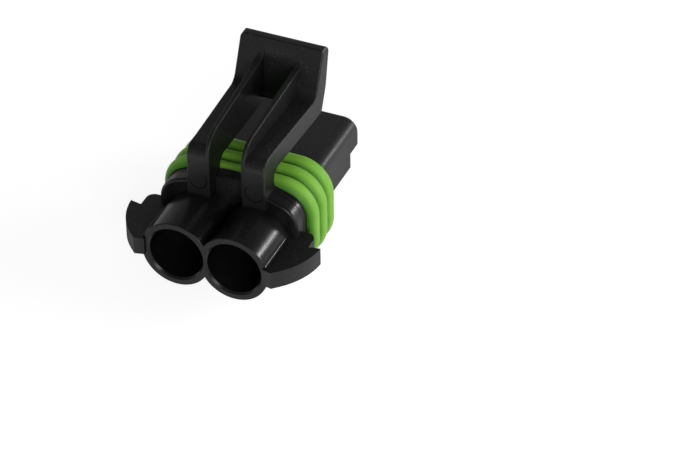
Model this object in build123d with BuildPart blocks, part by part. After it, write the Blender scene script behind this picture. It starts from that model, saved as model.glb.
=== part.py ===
from build123d import *
from math import atan2, degrees, hypot, sqrt
import os

# Two-way sealed connector housing: a stepped nose with two T slots, a silicone perimeter seal,
# a collar, two round wire tubes with side wings, and a sprung lock lever over the seal.
# Millimetres. X across the ways, +Y towards the mating end, +Z up to the lock lever side.
# The origin is under the middle of the part's length, at the level of its lowest face.

# Overall layout along Y, and the height of the wire tubes' axes
housing_length = 41.8
wing_tail = 0.8
tube_length = 10.1
collar_length = 3.8
seal_length = 10.2
axis_height = 9.5

# Wire tubes
way_pitch = 10.7
bore_radius = 4.9
bore_lead_in = 0.35
tube_wall = 1.4
tube_rim_round = 0.2
bore_depth = 15.2

# Collar
collar_half_width = 12.9
collar_below_axis = 7.3
collar_above_axis = 9.4
collar_crown = 3.2
collar_corner = 4.8
collar_rear_round = 0.5
collar_groove_setback = 2.3
collar_groove_width = 0.15
collar_groove_depth = 0.08
collar_window_depth = 1.6
collar_window_floor = 3.3

# Strap across the underside of the collar
strap_half_width = 8.9
strap_thickness = 0.8
strap_depth = 1.0
strap_slot_height = 2.2
strap_relief_depth = 1.5
strap_corner = 1.5
strap_slot_corner = 0.9

# Side wings
wing_above_axis = 2.0
wing_below_axis = 1.3
wing_half_span = 17.7
wing_tip_behind_collar = 1.5
wing_bow_x = 16.4
wing_bow_behind_collar = 6.3
wing_heel_x = 13.3
wing_heel_round = 0.6
wing_root_round = 0.6
notch_x = 15.65
notch_slant = 0.4
lobe_before_collar = 1.7
lobe_corner = 1.5

# Seat that carries the seal
seat_half_width = 11.65
seat_below_axis = 5.95
seat_above_axis = 6.6
seat_corner = 3.9

# Nose
nose_half_width = 10.8
nose_shelf_width = 1.4
nose_above_axis = 5.45
nose_below_axis = 5.7
nose_shelf_below_axis = 0.1
nose_top_corner = 2.6
nose_bottom_corner = 0.5
nose_shelf_corner = 0.4
nose_front_chamfer = 0.3
nose_front_wall = 2.2
chamber_half_width = 3.45
chamber_above_axis = 3.9
chamber_below_axis = 4.0

# T slots and the keying slot in the nose's front wall, heights from the tubes' axes
slot_bar_half_width = 3.3
slot_bar_bottom = -3.65
slot_bar_top = -0.82
slot_stem_half_width = 1.77
slot_stem_top = 2.62
slot_foot_half_width = 1.3
slot_foot_top = 3.52
key_slot_width = 2.05
key_slot_height = 7.25
key_slot_below_axis = 0.14
key_slot_depth = 12.0

# Perimeter seal
seal_rib_count = 3
seal_rib_height = 1.0
seal_front_rib_height = 0.8
seal_wall = 1.7
seal_lip_length = 0.4
seal_lip_height = 1.0
seal_fit = 0.02

# Lock lever, lengths along Y from the rear face of its legs
lever_half_width = 7.2
lever_pad_half_width = 7.8
lever_gap_half_width = 2.97
rib_pad_width = 1.25
rib_rear_width = 0.7
lever_behind_collar = 0.7
lever_seam = 0.05
leg_thickness = 4.1
leg_foot_height = 4.0
arm_bottom = 11.8
arm_top = 15.85
arm_outer_round = 2.2
arm_inner_round = 2.0
arm_pad_round = 2.2
rib_rear_top = 18.1
rib_pad_top = 20.6
rib_outer_round = 4.0
rib_pad_round = 1.6
lever_gap_length = 22.9
lever_gap_end_round = 8.0
pad_rear_foot = 20.5
pad_rear_top = 24.0
pad_top = 23.85
pad_front_top = 26.5
pad_front_knee = 24.9
pad_front_knee_height = 16.2
pad_front_foot = 22.9
pad_top_round = 1.2
pad_knee_round = 12.0
pad_foot_round = 0.8
pad_corner_round = 0.9
lever_edge_round = 0.3
rib_edge_round = 0.2
grip_groove_count = 6
grip_groove_first = 17.1
grip_groove_pitch = 0.88
grip_groove_width = 0.28
grip_groove_depth = 0.3

# How far a cutting outline runs past the solid
cut_margin = 1.0

# Places that follow from the sizes
y_back = -housing_length / 2
y_front = housing_length / 2
y_mouth = y_back + wing_tail
y_collar = y_mouth + tube_length
y_seal = y_collar + collar_length
y_seal_end = y_seal + seal_length
y_lever = y_collar - lever_behind_collar
z_axis = axis_height
z_seam = z_axis + collar_above_axis
tube_radius = bore_radius + tube_wall
half_pitch = way_pitch / 2
nose_narrow_half_width = nose_half_width - nose_shelf_width
strap_slot_top = strap_thickness + strap_slot_height
pad_rear_lean = (pad_rear_top - pad_rear_foot) / (pad_top - arm_top)
rib_pad_meeting = pad_rear_foot + (rib_pad_top - arm_top) * pad_rear_lean
gap_end_top = arm_top + (lever_gap_length - pad_rear_foot) / pad_rear_lean


def across(y):
    # Sketch plane across the part: local x is X and local y is Z. A negative extrusion runs to +Y.
    return Plane(origin=(0, y, 0), x_dir=(1, 0, 0), z_dir=(0, -1, 0))


def along(x):
    # Sketch plane along the part: local x is Y and local y is Z. An extrusion runs to +X.
    return Plane(origin=(x, 0, 0), x_dir=(0, 1, 0), z_dir=(1, 0, 0))


def collar_outline(depth):
    # Outline of the collar, flat below and crowned above, at a depth under its skin.
    half_width = collar_half_width - depth
    bottom = z_axis - collar_below_axis + depth
    top = z_axis + collar_above_axis - depth
    shoulder = top - collar_crown
    with BuildSketch() as outline:
        with BuildLine():
            Polyline(
                (-half_width, shoulder), (-half_width, bottom), (half_width, bottom), (half_width, shoulder)
            )
            ThreePointArc((half_width, shoulder), (0, top), (-half_width, shoulder))
        make_face()
        fillet(outline.vertices(), collar_corner - depth)
    return outline.sketch


def seat_outline():
    # Outline of the seal's seat, a rounded rectangle about the tubes' axes.
    with Locations((0, z_axis + (seat_above_axis - seat_below_axis) / 2)):
        RectangleRounded(2 * seat_half_width, seat_above_axis + seat_below_axis, seat_corner)


collar_skin = collar_outline(0)
collar_groove_bed = collar_outline(collar_groove_depth)


# One moulding: collar, seal seat, nose, wire tubes, wings, strap and the feet of the lever's legs
with BuildPart() as housing:
    # Collar behind the seal, with a rounded rear edge and a fine groove round it
    with BuildSketch(across(y_collar)):
        add(collar_skin)
    extrude(amount=-collar_length)
    fillet(housing.faces().sort_by(Axis.Y)[0].edges(), collar_rear_round)
    with BuildSketch(across(y_collar + collar_groove_setback)):
        with Locations((0, z_axis)):
            Rectangle(2 * (collar_half_width + cut_margin), 2 * (collar_above_axis + cut_margin))
        add(collar_groove_bed, mode=Mode.SUBTRACT)
    extrude(amount=-collar_groove_width, mode=Mode.SUBTRACT)
    # Opening between the lever's legs, and the relief over the strap
    with BuildSketch(across(y_collar)):
        with Locations((0, z_axis + collar_window_floor)):
            Rectangle(2 * lever_gap_half_width, collar_above_axis, align=(Align.CENTER, Align.MIN))
    extrude(amount=-collar_window_depth, mode=Mode.SUBTRACT)
    with BuildSketch(across(y_collar)):
        with Locations((0, strap_slot_top)):
            Rectangle(2 * (strap_half_width - strap_thickness), axis_height, align=(Align.CENTER, Align.MAX))
    extrude(amount=-strap_relief_depth, mode=Mode.SUBTRACT)
    # Strap: a thin loop under the collar, flush with its rear face
    with BuildSketch(across(y_collar)):
        with Locations((0, z_axis / 2)):
            RectangleRounded(2 * strap_half_width, z_axis, strap_corner)
        with Locations((0, strap_slot_top - strap_slot_height / 2)):
            RectangleRounded(
                2 * (strap_half_width - strap_thickness),
                strap_slot_height,
                strap_slot_corner,
                mode=Mode.SUBTRACT,
            )
    extrude(amount=-strap_depth)
    # Seat that carries the seal
    with BuildSketch(across(y_seal)):
        seat_outline()
    extrude(amount=-seal_length)
    # Stepped nose, narrower below its shelf
    with BuildSketch(across(y_seal_end)):
        with BuildLine():
            FilletPolyline(
                (-nose_narrow_half_width, z_axis - nose_below_axis),
                (nose_narrow_half_width, z_axis - nose_below_axis),
                (nose_narrow_half_width, z_axis - nose_shelf_below_axis),
                (nose_half_width, z_axis - nose_shelf_below_axis),
                (nose_half_width, z_axis + nose_above_axis),
                (-nose_half_width, z_axis + nose_above_axis),
                (-nose_half_width, z_axis - nose_shelf_below_axis),
                (-nose_narrow_half_width, z_axis - nose_shelf_below_axis),
                radius=[
                    nose_bottom_corner,
                    nose_bottom_corner,
                    nose_shelf_corner,
                    nose_shelf_corner,
                    nose_top_corner,
                    nose_top_corner,
                    nose_shelf_corner,
                    nose_shelf_corner,
                ],
                close=True,
            )
        make_face()
    extrude(amount=-(y_front - y_seal_end))
    chamfer(housing.faces().sort_by(Axis.Y)[-1].edges(), nose_front_chamfer)
    # Wire tubes, fused side by side
    with BuildSketch(across(y_mouth)):
        with Locations((-half_pitch, z_axis), (half_pitch, z_axis)):
            Circle(tube_radius)
    extrude(amount=-(tube_length + collar_window_depth))
    fillet(housing.faces().sort_by(Axis.Y)[0].edges(), tube_rim_round)
    # Side wings: a hooked plate on each flank, with a notch and a rounded lobe at the collar
    with BuildSketch(Plane.XY.offset(z_axis - wing_below_axis)) as wing_outline:
        with BuildLine():
            tip = (wing_half_span, y_collar - wing_tip_behind_collar)
            heel = (wing_heel_x, y_back + wing_heel_round)
            root = half_pitch + bore_radius + tube_wall / 2
            ThreePointArc(tip, (wing_bow_x, y_collar - wing_bow_behind_collar), heel)
            Polyline(
                heel,
                (wing_heel_x - wing_heel_round, y_back),
                (root, y_back + wing_tail / 2),
                (root, y_collar + lobe_before_collar),
                (notch_x - lobe_corner, y_collar + lobe_before_collar),
            )
            RadiusArc(
                (notch_x - lobe_corner, y_collar + lobe_before_collar),
                (notch_x, y_collar + lobe_before_collar - lobe_corner),
                lobe_corner,
            )
            Polyline(
                (notch_x, y_collar + lobe_before_collar - lobe_corner),
                (notch_x, y_collar - wing_tip_behind_collar - notch_slant),
                tip,
            )
        make_face()
        mirror(about=Plane.YZ)
    extrude(amount=wing_below_axis + wing_above_axis)
    # Hollow rounds where the wings meet the tubes
    with BuildSketch(across(y_mouth + tube_rim_round)):
        for height, up in ((wing_above_axis, 1), (wing_below_axis, -1)):
            rise = height + wing_root_round
            reach = sqrt((tube_radius + wing_root_round) ** 2 - rise**2)
            share = tube_radius / (tube_radius + wing_root_round)
            tube_touch = (half_pitch + reach * share, z_axis + up * rise * share)
            wing_touch = (half_pitch + reach, z_axis + up * height)
            to_corner = (reach * (share - 1), up * (rise * (share - 1) - wing_root_round))
            scale_down = wing_root_round / hypot(*to_corner)
            middle_x = half_pitch + reach + to_corner[0] * scale_down
            middle = (middle_x, z_axis + up * rise + to_corner[1] * scale_down)
            with BuildLine():
                ThreePointArc(tube_touch, middle, wing_touch)
                Polyline(wing_touch, (half_pitch + bore_radius + tube_wall / 2, z_axis), tube_touch)
            make_face()
        mirror(about=Plane.YZ)
    extrude(amount=-(tube_length - tube_rim_round + collar_rear_round))
    # Feet of the lever's legs, below the seam
    with BuildSketch(along(-lever_half_width)):
        with Locations((y_lever, z_seam)):
            Rectangle(leg_thickness, leg_foot_height, align=(Align.MIN, Align.MAX))
    feet = extrude(amount=lever_half_width - lever_gap_half_width)
    mirror(feet, about=Plane.YZ)
    # Bores for the wires and their cable seals, and the terminal chambers ahead of them
    with BuildSketch(across(y_mouth)):
        with Locations((-half_pitch, z_axis), (half_pitch, z_axis)):
            Circle(bore_radius)
    extrude(amount=-bore_depth, mode=Mode.SUBTRACT)
    rear_circles = housing.edges().filter_by(GeomType.CIRCLE).filter_by(
        lambda edge: edge.center().Y < y_mouth + bore_lead_in
    )
    chamfer(rear_circles.filter_by(lambda edge: abs(edge.radius - bore_radius) < bore_lead_in), bore_lead_in)
    with BuildSketch(across(y_mouth + bore_depth)):
        with Locations((-half_pitch, z_axis - chamber_below_axis), (half_pitch, z_axis - chamber_below_axis)):
            Rectangle(
                2 * chamber_half_width,
                chamber_below_axis + chamber_above_axis,
                align=(Align.CENTER, Align.MIN),
            )
    extrude(amount=-(y_front - nose_front_wall - y_mouth - bore_depth), mode=Mode.SUBTRACT)
    # T slots through the front wall, each a bar, a stem and a narrower foot
    with BuildSketch(across(y_front)):
        for x in (-half_pitch, half_pitch):
            with Locations((x, z_axis + slot_bar_bottom)):
                Rectangle(
                    2 * slot_bar_half_width, slot_bar_top - slot_bar_bottom, align=(Align.CENTER, Align.MIN)
                )
                Rectangle(
                    2 * slot_stem_half_width, slot_stem_top - slot_bar_bottom, align=(Align.CENTER, Align.MIN)
                )
                Rectangle(
                    2 * slot_foot_half_width, slot_foot_top - slot_bar_bottom, align=(Align.CENTER, Align.MIN)
                )
    extrude(amount=nose_front_wall, mode=Mode.SUBTRACT)
    # Keying slot between them
    with BuildSketch(across(y_front)):
        with Locations((0, z_axis - key_slot_below_axis)):
            SlotOverall(key_slot_height, key_slot_width, rotation=90)
    extrude(amount=key_slot_depth, mode=Mode.SUBTRACT)

# Lock lever: two legs that turn into an arm with a rib on each side of its gap, and an upright thumb pad
with BuildPart() as latch:
    with BuildSketch(along(-lever_pad_half_width)):
        with BuildLine():
            FilletPolyline(
                (y_lever, z_seam + lever_seam),
                (y_lever, z_axis + arm_top),
                (y_lever + pad_rear_foot, z_axis + arm_top),
                (y_lever + pad_rear_top, z_axis + pad_top),
                (y_lever + pad_front_top, z_axis + pad_top),
                (y_lever + pad_front_knee, z_axis + pad_front_knee_height),
                (y_lever + pad_front_foot, z_axis + arm_bottom),
                (y_lever + leg_thickness, z_axis + arm_bottom),
                (y_lever + leg_thickness, z_seam + lever_seam),
                radius=[
                    0,
                    arm_outer_round,
                    arm_pad_round,
                    0,
                    pad_top_round,
                    pad_knee_round,
                    pad_foot_round,
                    arm_inner_round,
                    0,
                ],
                close=True,
            )
        make_face()
    extrude(amount=2 * lever_pad_half_width)
    # Ribs that stand on the arm beside the gap, and rise and widen from the rear bend to the pad
    with BuildSketch(along(lever_gap_half_width)):
        with BuildLine():
            FilletPolyline(
                (y_lever, z_axis + arm_bottom),
                (y_lever, z_axis + rib_rear_top),
                (y_lever + rib_pad_meeting, z_axis + rib_pad_top),
                (y_lever + pad_rear_top, z_axis + pad_top),
                (y_lever + pad_rear_foot, z_axis + arm_bottom),
                radius=[0, rib_outer_round, rib_pad_round, 0, 0],
                close=True,
            )
        make_face()
    rib_block = extrude(amount=rib_pad_width, mode=Mode.PRIVATE)
    with BuildSketch(Plane.XY):
        with BuildLine():
            Polyline(
                (lever_gap_half_width, y_lever),
                (lever_gap_half_width + rib_rear_width, y_lever),
                (lever_gap_half_width + rib_pad_width, y_lever + pad_rear_top),
                (lever_gap_half_width, y_lever + pad_rear_top),
                close=True,
            )
        make_face()
    rib = rib_block & extrude(amount=z_axis + pad_top, mode=Mode.PRIVATE)
    rib_sides = rib.faces().filter_by(lambda face: abs(face.normal_at().X) > 0.9)
    rib = rib.fillet(rib_edge_round, rib_sides.edges().filter_by(GeomType.LINE, reverse=True))
    add(rib)
    mirror(rib, about=Plane.YZ)
    # Gap between the legs, open from the rear, whose end rolls over into the pad's rear slope
    with BuildSketch(along(-lever_gap_half_width)):
        with BuildLine():
            FilletPolyline(
                (y_lever - cut_margin, 0),
                (y_lever + lever_gap_length, 0),
                (y_lever + lever_gap_length, z_axis + gap_end_top),
                (y_lever + pad_rear_top + cut_margin * pad_rear_lean, z_axis + pad_top + cut_margin),
                (y_lever - cut_margin, z_axis + pad_top + cut_margin),
                radius=[0, 0, lever_gap_end_round, 0, 0],
                close=True,
            )
        make_face()
    extrude(amount=2 * lever_gap_half_width, mode=Mode.SUBTRACT)
    # Plan of the lever: the arm widens a little to the pad
    with BuildSketch(Plane.XY):
        with BuildLine():
            Polyline(
                (-lever_half_width, y_lever - cut_margin),
                (lever_half_width, y_lever - cut_margin),
                (lever_half_width, y_lever + leg_thickness),
                (lever_pad_half_width, y_lever + pad_rear_foot),
                (lever_pad_half_width, y_lever + pad_front_top + cut_margin),
                (-lever_pad_half_width, y_lever + pad_front_top + cut_margin),
                (-lever_pad_half_width, y_lever + pad_rear_foot),
                (-lever_half_width, y_lever + leg_thickness),
                close=True,
            )
        make_face()
    extrude(amount=z_axis + pad_top + cut_margin, mode=Mode.INTERSECT)
    # Rounded upper corners of the pad
    with BuildSketch(across(y_lever - cut_margin)):
        with Locations((0, z_axis + pad_top)):
            RectangleRounded(
                2 * lever_pad_half_width, 2 * pad_top, pad_corner_round, align=(Align.CENTER, Align.MAX)
            )
    extrude(amount=-(pad_front_top + 2 * cut_margin), mode=Mode.INTERSECT)
    # Softened edges down both flanks, from the pad to the seam
    flanks = latch.faces().filter_by(
        lambda face: abs(face.normal_at().X) > 0.9
        and abs(face.center().X) > lever_gap_half_width + rib_pad_width
    )
    inside_flanks = [
        edge for index, face in enumerate(flanks) for edge in face.edges() & flanks[index + 1 :].edges()
    ]
    fillet(
        flanks.edges().filter_by(lambda edge: edge.center().Z > z_seam + lever_seam) - inside_flanks,
        lever_edge_round,
    )
    # Grip grooves across the pad's front face
    lean = degrees(atan2(pad_front_top - pad_front_knee, pad_top - pad_front_knee_height))
    with BuildSketch(along(-lever_pad_half_width)):
        for index in range(grip_groove_count):
            height = grip_groove_first + index * grip_groove_pitch
            rise = (height - pad_front_knee_height) / (pad_top - pad_front_knee_height)
            reach = pad_front_knee + rise * (pad_front_top - pad_front_knee)
            with Locations((y_lever + reach, z_axis + height)):
                Rectangle(2 * grip_groove_depth, grip_groove_width, rotation=-lean)
    extrude(amount=2 * lever_pad_half_width, mode=Mode.SUBTRACT)

# Silicone seal: a ribbed band swept round its seat, with a thin lip towards the nose
with BuildPart() as perimeter_seal:
    with BuildLine(across(y_seal)) as seat_path:
        with BuildSketch(across(y_seal), mode=Mode.PRIVATE) as seat_section:
            seat_outline()
        add(seat_section.sketch.wire())
    with BuildSketch(Plane.YZ):
        with BuildLine():
            inner = z_axis + seat_above_axis + seal_fit
            valley = z_axis + seat_above_axis + seal_wall
            rib_length = (seal_length - seal_lip_length) / seal_rib_count
            for index in range(seal_rib_count):
                rib_start = y_seal + index * rib_length
                rib_height = seal_front_rib_height if index == seal_rib_count - 1 else seal_rib_height
                ThreePointArc(
                    (rib_start, valley),
                    (rib_start + rib_length / 2, valley + rib_height),
                    (rib_start + rib_length, valley),
                )
            Polyline(
                (y_seal_end - seal_lip_length, valley),
                (y_seal_end, inner + seal_lip_height),
                (y_seal_end, inner),
                (y_seal, inner),
                (y_seal, valley),
            )
        make_face()
    sweep(path=seat_path.wire())

housing.part.label = "housing"
latch.part.label = "latch"
perimeter_seal.part.label = "perimeter_seal"

os.makedirs("parts", exist_ok=True)
export_step(housing.part, "parts/housing.step")
export_step(latch.part, "parts/latch.step")
export_step(perimeter_seal.part, "parts/perimeter_seal.step")
for node in (housing, latch, perimeter_seal):
    print(node.part.label, node.part.volume, len(node.part.solids()), node.part.bounding_box())
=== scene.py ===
import bpy
import math
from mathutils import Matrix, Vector


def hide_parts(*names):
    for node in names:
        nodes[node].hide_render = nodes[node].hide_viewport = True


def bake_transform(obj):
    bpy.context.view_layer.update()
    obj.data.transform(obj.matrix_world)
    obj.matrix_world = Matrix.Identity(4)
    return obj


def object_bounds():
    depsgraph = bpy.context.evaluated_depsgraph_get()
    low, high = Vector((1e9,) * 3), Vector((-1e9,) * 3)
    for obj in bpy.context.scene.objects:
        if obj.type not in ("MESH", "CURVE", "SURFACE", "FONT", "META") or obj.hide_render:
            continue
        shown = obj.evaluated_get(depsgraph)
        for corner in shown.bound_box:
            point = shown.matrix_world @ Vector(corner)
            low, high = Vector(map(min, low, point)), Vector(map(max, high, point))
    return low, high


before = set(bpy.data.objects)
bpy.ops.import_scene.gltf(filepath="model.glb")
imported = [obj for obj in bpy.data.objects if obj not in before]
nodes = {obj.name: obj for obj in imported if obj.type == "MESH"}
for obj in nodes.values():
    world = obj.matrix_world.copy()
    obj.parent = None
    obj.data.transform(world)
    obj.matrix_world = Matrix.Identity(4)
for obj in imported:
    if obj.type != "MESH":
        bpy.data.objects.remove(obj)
cad_low, cad_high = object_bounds()

# Camera: the photograph's view of the connector, from behind and above its right side, through a long
# lens. The lens, the place and the turn come from fitting the part's own edges to the photograph.
lens_mm = 191.1
sensor_mm = 36.0
camera_place = (0.21353, -0.44891, 0.38417)
camera_turn = (52.508, 0.541, 23.305)
nearest_seen = 0.05
farthest_seen = 10.0

camera_data = bpy.data.cameras.new("studio_camera")
camera_data.sensor_width = sensor_mm
camera_data.lens = lens_mm
camera_data.clip_start = nearest_seen
camera_data.clip_end = farthest_seen
camera = bpy.data.objects.new("studio_camera", camera_data)
camera.location = camera_place
camera.rotation_euler = [math.radians(degrees) for degrees in camera_turn]
bpy.context.scene.collection.objects.link(camera)
bpy.context.scene.camera = camera


# Housing: one moulding in black glass-filled plastic, with the collar, the two wire tubes, the wings and
# the nose. The tool left the tubes and collar smooth and the wings and legs matt, and the nose is a
# lighter grey in patches. Round ejector pins left ring marks on the legs' rear faces and between the
# legs, drawn as painted shade.
plastic_black = (0.0062, 0.0067, 0.0063, 1.0)
plastic_matt = (0.0130, 0.0139, 0.0132, 1.0)
plastic_grey = (0.0210, 0.0220, 0.0212, 1.0)
plastic_dust = (0.060, 0.062, 0.061, 1.0)
# A near-black sheet that is mixed in as painted shade, in the pins' ring marks and on faces seen at low
# angles
painted_shade_black = (0.0012, 0.0012, 0.0012, 1.0)
gloss = 0.25
matt_roughness = 0.36
smooth_roughness = 0.23
lightened_least = 0.55
flow_share = 0.3
dust_share = 0.8
grain_share_on_smooth = 0.1
flow_roughness = 0.10
grain_roughness = 0.08
grain_height = 0.00003
grain_strength = 0.5

# Grains to the metre
skin_grains = 3600.0
dust_grains = 2900.0
lightened_grains = 700.0
dust_patches = 260.0
flow_clouds = 150.0

# Where each mark fades in, from and to, in shares of its noise
lightened_fade = (0.30, 0.62)
flow_fade = (0.45, 0.85)
patch_fade = (0.40, 0.52)
dust_fade = (0.75, 0.78)

# Angles between a straight look, 0, and a grazing one, 1, over which painted shade darkens the surface,
# and by what share
low_angle_shade_range = (0.45, 0.90)
low_angle_shade_share = 0.75

# Where one finish gives way to the next, from and to, in metres
wing_edge = (0.0112, 0.0124)
leg_foot = (0.0150, 0.0168)
leg_side = (0.0073, 0.0075)
leg_front = (-0.0066, -0.0064)
leg_rear = (-0.0104, -0.0102)
wall_rear = (-0.0088, -0.0086)
wall_front = (-0.0082, -0.0080)
nose_skin = (0.0043, 0.0050)

# Each pin's x, z and radius, and the line of painted shade round it, from its core to its faded edge
leg_pin = (0.0052, 0.0188, 0.00165)
wall_pin = (-0.0005, 0.0168, 0.0006)
pin_line = (0.00005, 0.00016)
pin_lean = 1.6
pin_fade = (-0.6, 1.6)
leg_pin_share = 0.75
wall_pin_share = 0.5


class Socket:
    """One output socket of a material's node tree, with arithmetic that adds Math nodes."""

    def __init__(self, tree, output):
        self.tree = tree
        self.output = output

    def node(self, kind, settings=None, **inputs):
        """Adds a node, makes its settings, then sets or links its inputs. Returns the node."""
        made = self.tree.nodes.new(kind)
        for name, value in (settings or {}).items():
            setattr(made, name, value)
        for name, value in inputs.items():
            key = int(name[1:]) if name[0] == "i" and name[1:].isdigit() else name.replace("_", " ")
            if isinstance(value, Socket):
                self.tree.links.new(value.output, made.inputs[key])
            else:
                made.inputs[key].default_value = value
        return made

    def get(self, kind, settings=None, out=0, **inputs):
        """The same, returning one of the node's outputs."""
        return Socket(self.tree, self.node(kind, settings, **inputs).outputs[out])

    def math(self, operation, *values):
        """A Math node's result for this socket and the values after it."""
        inputs = {f"i{index}": value for index, value in enumerate((self, *values))}
        return self.get("ShaderNodeMath", {"operation": operation}, **inputs)

    def __add__(self, other):
        return self.math("ADD", other)

    __radd__ = __add__

    def __mul__(self, other):
        return self.math("MULTIPLY", other)

    __rmul__ = __mul__

    def __sub__(self, other):
        return self.math("SUBTRACT", other)

    def __rsub__(self, other):
        return (self * -1.0) + other

    def __truediv__(self, other):
        return self.math("DIVIDE", other)

    def over(self, low, high):
        """0 below low, 1 above high, smooth between."""
        settings = {"interpolation_type": "SMOOTHSTEP"}
        return self.get("ShaderNodeMapRange", settings, Value=self, From_Min=low, From_Max=high)

    def under(self, low, high):
        """1 below low, 0 above high, smooth between."""
        return 1 - self.over(low, high)


def new_material(name, **constants):
    """A material with one Principled shader. Returns it, the shader and its object coordinates."""
    material = bpy.data.materials.new(name)
    material.use_nodes = True
    tree = material.node_tree
    shader = tree.nodes["Principled BSDF"]
    for key, value in constants.items():
        shader.inputs[key.replace("_", " ")].default_value = value
    place = Socket(tree, tree.nodes.new("ShaderNodeTexCoord").outputs["Object"])
    return material, shader, place


def feed(shader, place, **inputs):
    """Links sockets to the shader's inputs of the same names."""
    for name, value in inputs.items():
        place.tree.links.new(value.output, shader.inputs[name.replace("_", " ")])


def show(surface):
    """Makes a mixed shader the surface of its material."""
    surface.tree.links.new(surface.output, surface.tree.nodes["Material Output"].inputs["Surface"])


def axes(place):
    """X, Y and Z of the coordinates."""
    split = place.node("ShaderNodeSeparateXYZ", i0=place)
    return [Socket(place.tree, split.outputs[index]) for index in range(3)]


def speckle(place, per_metre, detail=2.0, roughness=0.5):
    """Noise about 0.5, with so many grains to the metre."""
    inputs = {"Scale": per_metre, "Detail": detail, "Roughness": roughness}
    return place.get("ShaderNodeTexNoise", Vector=place, **inputs)


def blend_colours(place, factor, first, second):
    """first where factor is 0, second where it is 1. Each is a colour or a socket."""
    return place.get("ShaderNodeMix", {"data_type": "RGBA"}, out=2, i0=factor, i6=first, i7=second)


def bump(place, height):
    """A normal from heights between 0 and 1, worth the height of the skin's grain."""
    return place.get("ShaderNodeBump", Height=height, Distance=grain_height, Strength=grain_strength)


def shaded_pin_ring(x, z, pin):
    """A thin ring of painted shade about a pin's centre, strongest on its lower left, the side turned
    from the light.
    """
    pin_x, pin_z, radius = pin
    across = x - pin_x
    up = z - pin_z
    from_pin = (across * across + up * up).math("SQRT")
    line = (from_pin - radius).math("ABSOLUTE").under(*pin_line)
    lower_left_shade = ((across + up * pin_lean) / radius).under(*pin_fade)
    return line * lower_left_shade


def moulded_plastic(name, smoothness, lightening):
    """Black plastic. smoothness and lightening say, from the object coordinates, where it is smooth and
    where it is a lighter grey.
    """
    material, shader, place = new_material(name, Specular_IOR_Level=gloss)
    x, y, z = axes(place)
    aside = x.math("ABSOLUTE")
    smooth = smoothness(aside, y, z)
    lighter_patches = speckle(place, lightened_grains, 3.0, 0.7).over(*lightened_fade)
    lightened = lightening(y) * (lightened_least + (1 - lightened_least) * lighter_patches)
    flow = speckle(place, flow_clouds, 3.0, 0.5)
    patches = speckle(place, dust_patches, 1.0, 0.5).over(*patch_fade)
    dust = speckle(place, dust_grains, 0.0).over(*dust_fade) * patches * (1 - smooth)
    colour = blend_colours(place, smooth, plastic_matt, plastic_black)
    colour = blend_colours(place, flow.over(*flow_fade) * flow_share, colour, plastic_grey)
    colour = blend_colours(place, lightened, colour, plastic_grey)
    colour = blend_colours(place, dust * dust_share, colour, plastic_dust)
    grain = speckle(place, skin_grains, 2.0, 0.6) - 0.5
    skin = 0.5 + grain * (1 - smooth * (1 - grain_share_on_smooth))
    rough = matt_roughness - smooth * (matt_roughness - smooth_roughness)
    rough = rough + (flow - 0.5) * flow_roughness + (skin - 0.5) * grain_roughness
    feed(shader, place, Base_Color=colour, Roughness=rough, Normal=bump(place, skin))

    # The pins' marks are cracks too narrow to catch light, drawn as painted shade: the near-black sheet
    # is mixed in along each ring
    on_legs = y.under(*leg_rear) * leg_pin_share
    on_wall = y.over(*wall_rear) * y.under(*wall_front) * wall_pin_share
    pin_ring_shade = shaded_pin_ring(aside, z, leg_pin) * on_legs + shaded_pin_ring(x, z, wall_pin) * on_wall

    # Faces seen at low angles get the near-black sheet too, a painted shade standing for the grain of the
    # skin shading itself, which dims their gloss and colour alike
    low_angle_shade = place.get("ShaderNodeLayerWeight", out=1, Blend=0.5).over(*low_angle_shade_range)
    painted_shade_share = (pin_ring_shade + low_angle_shade * low_angle_shade_share).math("MINIMUM", 1.0)
    lit = Socket(place.tree, shader.outputs[0])
    painted_shade = place.get("ShaderNodeBsdfDiffuse", Color=painted_shade_black)
    show(place.get("ShaderNodeMixShader", i0=painted_shade_share, i1=lit, i2=painted_shade))
    return material


def housing_smoothness(aside, y, z):
    """Smooth but for the wings, the nose and the feet of the legs."""
    legs = z.over(*leg_foot) * aside.under(*leg_side) * y.under(*leg_front)
    return (1 - aside.over(*wing_edge)) * (1 - legs) * y.under(*nose_skin)


def nose_lightening(y):
    """Lighter grey on the nose alone."""
    return y.over(*nose_skin)


housing_plastic = moulded_plastic("housing_plastic", housing_smoothness, nose_lightening)
for material_slot in nodes["housing"].material_slots:
    material_slot.material = housing_plastic


# Lock lever: moulded in one with the housing, so it bends at its legs where the CAD model has a hinge.
# This piece is the lever's own mesh, drawn down onto the feet of its legs so that no seam shows.
# Its skin is matt all over.
seam_height = 0.0189
seam_reach = 0.0001


def nowhere(*coordinates):
    """The smoothness or lightening of a moulding that has none."""
    return 0.0


lever_mesh = nodes["latch"].data.copy()
lever_mesh.name = "lock_lever"
for vertex in lever_mesh.vertices:
    if vertex.co.z < seam_height + seam_reach:
        vertex.co.z = seam_height
lock_lever = bpy.data.objects.new("lock_lever", lever_mesh)
bpy.context.scene.collection.objects.link(lock_lever)
lever_mesh.materials.clear()
lever_mesh.materials.append(moulded_plastic("lever_plastic", nowhere, nowhere))
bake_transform(lock_lever)
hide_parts("latch")


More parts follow.
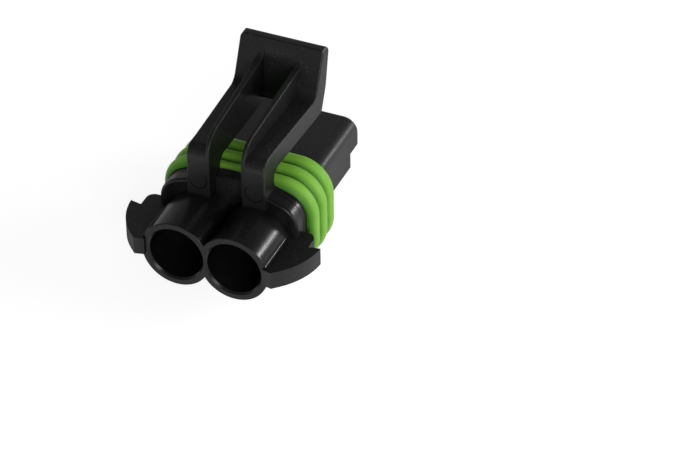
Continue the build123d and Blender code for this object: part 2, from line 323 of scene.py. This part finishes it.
# Perimeter seal: a moulded silicone band with three rounded ribs and a thin lip, stretched over its seat.
# Silicone is satin, lets a little light in, and picks up fine dust. Its green is darkened between the
# ribs by painted shade, and in random clouds.
silicone_green = (0.245, 0.560, 0.064, 1.0)
silicone_shade_and_cloud = (0.062, 0.230, 0.012, 1.0)
silicone_lint = (0.52, 0.62, 0.42, 1.0)
silicone_roughness = 0.48
silicone_grain = 0.16
lint_roughness = 0.2
light_let_in = 0.04
light_depth = 0.0004
lint_grains = 3800.0
green_clouds = 240.0
lint_fade = (0.80, 0.83)
cloud_fade = (0.4, 0.8)
lint_share = 0.4
cloud_share = 0.15

# The ribs lie one behind another. The painted shade of a groove reaches onto the rib ahead of it and,
# more faintly, onto the rib behind it, over these shares of a rib's length.
seal_rear = -0.0062
ribs_length = 0.0098
rib_count = 3
groove_shade_onto_front = (-0.05, 0.34)
groove_shade_onto_rear = (0.88, 1.0)
shade_onto_rear_share = 0.7

silicone, shader, place = new_material(
    "seal_silicone",
    Specular_IOR_Level=gloss,
    Subsurface_Weight=light_let_in,
    Subsurface_Scale=light_depth,
)
x, y, z = axes(place)
along_rib = ((y - seal_rear) / (ribs_length / rib_count)).math("FRACT")
cloud = speckle(place, green_clouds, 2.0, 0.5).over(*cloud_fade)
# Painted shade in the grooves and on the slopes beside them, plus random darker clouds of the silicone's
# own tone
groove_shade = along_rib.under(*groove_shade_onto_front) + along_rib.over(*groove_shade_onto_rear) * shade_onto_rear_share
shade_and_cloud = groove_shade + cloud * cloud_share
lint = speckle(place, lint_grains, 0.0).over(*lint_fade)
colour = blend_colours(place, shade_and_cloud, silicone_green, silicone_shade_and_cloud)
colour = blend_colours(place, lint * lint_share, colour, silicone_lint)
grain = speckle(place, skin_grains, 2.0, 0.6)
rough = silicone_roughness + (grain - 0.5) * silicone_grain + lint * lint_roughness
feed(shader, place, Base_Color=colour, Roughness=rough, Normal=bump(place, grain))
for material_slot in nodes["perimeter_seal"].material_slots:
    material_slot.material = silicone


# Floor: a plain sheet of paper just under the lowest face of the part. It is white to the camera and in
# gloss, with the part's soft shadow on it, and it lights the part only as pale grey paper does.
floor_size = 4.0
floor_gap = 0.00005
paper_shade = (0.42, 0.42, 0.42, 1.0)
paper_roughness = 0.95
paper_glow = 0.84

corner = floor_size / 2
floor_corners = [(-corner, -corner, 0), (corner, -corner, 0), (corner, corner, 0), (-corner, corner, 0)]
floor_mesh = bpy.data.meshes.new("floor")
floor_mesh.from_pydata(floor_corners, [], [(0, 1, 2, 3)])
floor = bpy.data.objects.new("floor", floor_mesh)
floor.location.z = cad_low.z - floor_gap
bpy.context.scene.collection.objects.link(floor)
paper, shader, place = new_material("paper_white", Roughness=paper_roughness, Specular_IOR_Level=0.0)
shader.inputs["Base Color"].default_value = paper_shade
rays = place.node("ShaderNodeLightPath")
white_rays = ("Is Camera Ray", "Is Glossy Ray", "Is Transmission Ray")
seen, glossy, through = (Socket(place.tree, rays.outputs[name]) for name in white_rays)
lit = Socket(place.tree, shader.outputs[0])
glow = place.get("ShaderNodeEmission", Strength=paper_glow)
white = place.get("ShaderNodeAddShader", i0=lit, i1=glow)
show(place.get("ShaderNodeMixShader", i0=seen + glossy + through, i1=lit, i2=white))
floor_mesh.materials.append(paper)


# Studio light: a narrow soft box low behind on the right, which draws the streaks along the tubes, a
# larger one at the right side, which shades the seal's ribs, and a fill beside the camera. The room is
# pale at the level of the table and dark overhead.
part_middle = (0, 0, 0.014)
room_low = (0.46, 0.46, 0.46, 1.0)
room_high = (0.10, 0.10, 0.10, 1.0)
room_rise = (0.15, 0.90)


def soft_box(name, place, width, height, watts):
    """A rectangular lamp that faces the part."""
    lamp = bpy.data.lights.new(name, "AREA")
    lamp.shape = "RECTANGLE"
    lamp.size = width
    lamp.size_y = height
    lamp.energy = watts
    stand = bpy.data.objects.new(name, lamp)
    stand.location = place
    towards_part = Vector(part_middle) - Vector(place)
    stand.rotation_euler = towards_part.to_track_quat("-Z", "Y").to_euler()
    bpy.context.scene.collection.objects.link(stand)


soft_box("low_box", (0.64, 0.735, 0.27), width=0.22, height=0.06, watts=2.0)
soft_box("side_box", (0.82, 0.25, 0.30), width=0.40, height=0.36, watts=2.9)
soft_box("camera_fill", (0.45, -0.75, 0.30), width=0.40, height=0.40, watts=3.1)

world = bpy.data.worlds.new("studio")
world.use_nodes = True
bpy.context.scene.world = world
way = Socket(world.node_tree, world.node_tree.nodes.new("ShaderNodeTexCoord").outputs["Generated"])
room = blend_colours(way, axes(way)[2].over(*room_rise), room_low, room_high)
world.node_tree.links.new(room.output, world.node_tree.nodes["Background"].inputs["Color"])
bpy.context.scene.view_settings.view_transform = "Standard"
